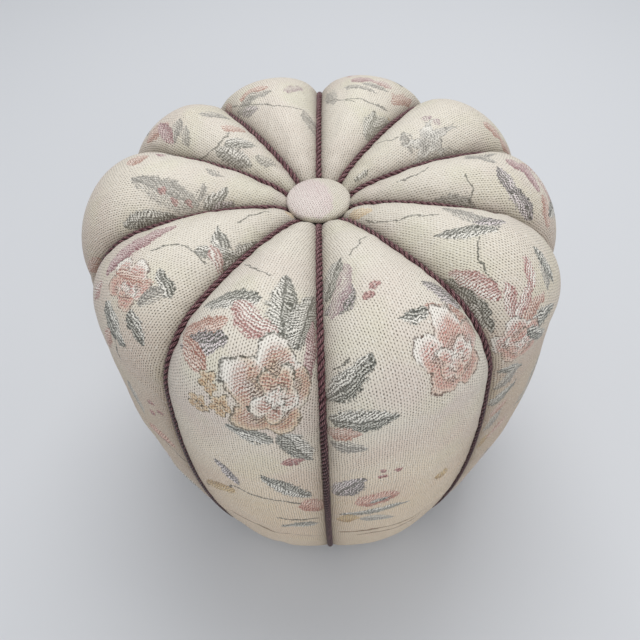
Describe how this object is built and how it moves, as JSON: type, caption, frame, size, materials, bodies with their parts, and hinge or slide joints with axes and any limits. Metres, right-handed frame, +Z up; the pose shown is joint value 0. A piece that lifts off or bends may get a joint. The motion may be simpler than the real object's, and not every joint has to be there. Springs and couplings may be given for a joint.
{
  "type": "ottoman",
  "caption": "Round upholstered ottoman with stuffed channels, twisted cord in the seams and a covered centre button, over a wooden drum on glides.",
  "frame": {"origin": "on the floor, under the middle of the ottoman and its button", "axes": "+Z up; -Y towards the side that the picture shows as the front; +X to its right"},
  "size_m": [0.4242, 0.417, 0.3847],
  "materials": {
    "tapestry": "ribbed floral tapestry",
    "cord": "twisted rayon cord",
    "wadding": "loose polyester wadding",
    "foam": "open-cell foam",
    "plywood": "bare birch plywood",
    "fibreboard": "bare hardboard",
    "pine": "planed softwood",
    "zinc": "bright zinc",
    "twine": "waxed tufting twine",
    "dust_cloth": "black cambric",
    "glide_plastic": "moulded plastic"
  },
  "bodies": {
    "root": {"base_board": "plywood", "top_board": "plywood", "side_wall": "fibreboard", "post_1": "pine", "post_2": "pine", "post_3": "pine", "post_4": "pine", "post_screws": "zinc", "wall_tacks": "zinc", "top_pad": "foam", "side_pad": "foam", "stuffing_1": "wadding", "stuffing_2": "wadding", "stuffing_3": "wadding", "stuffing_4": "wadding", "stuffing_5": "wadding", "stuffing_6": "wadding", "stuffing_7": "wadding", "stuffing_8": "wadding", "stuffing_9": "wadding", "stuffing_10": "wadding", "gore_1": "tapestry", "gore_2": "tapestry", "gore_3": "tapestry", "gore_4": "tapestry", "gore_5": "tapestry", "gore_6": "tapestry", "gore_7": "tapestry", "gore_8": "tapestry", "gore_9": "tapestry", "gore_10": "tapestry", "seam_cord_1": "cord", "seam_cord_2": "cord", "seam_cord_3": "cord", "seam_cord_4": "cord", "seam_cord_5": "cord", "seam_cord_6": "cord", "seam_cord_7": "cord", "seam_cord_8": "cord", "seam_cord_9": "cord", "seam_cord_10": "cord", "button_cover": "tapestry", "button_wadding": "wadding", "button_mould": "zinc", "button_back": "zinc", "button_eye": "zinc", "button_twine": "twine", "twine_toggle": "pine", "hem_tacks": "zinc", "dust_cover": "dust_cloth", "dust_staples": "zinc", "glide_1": "glide_plastic", "glide_2": "glide_plastic", "glide_3": "glide_plastic", "glide_4": "glide_plastic", "glide_nails": "zinc"}
  },
  "joints": []
}
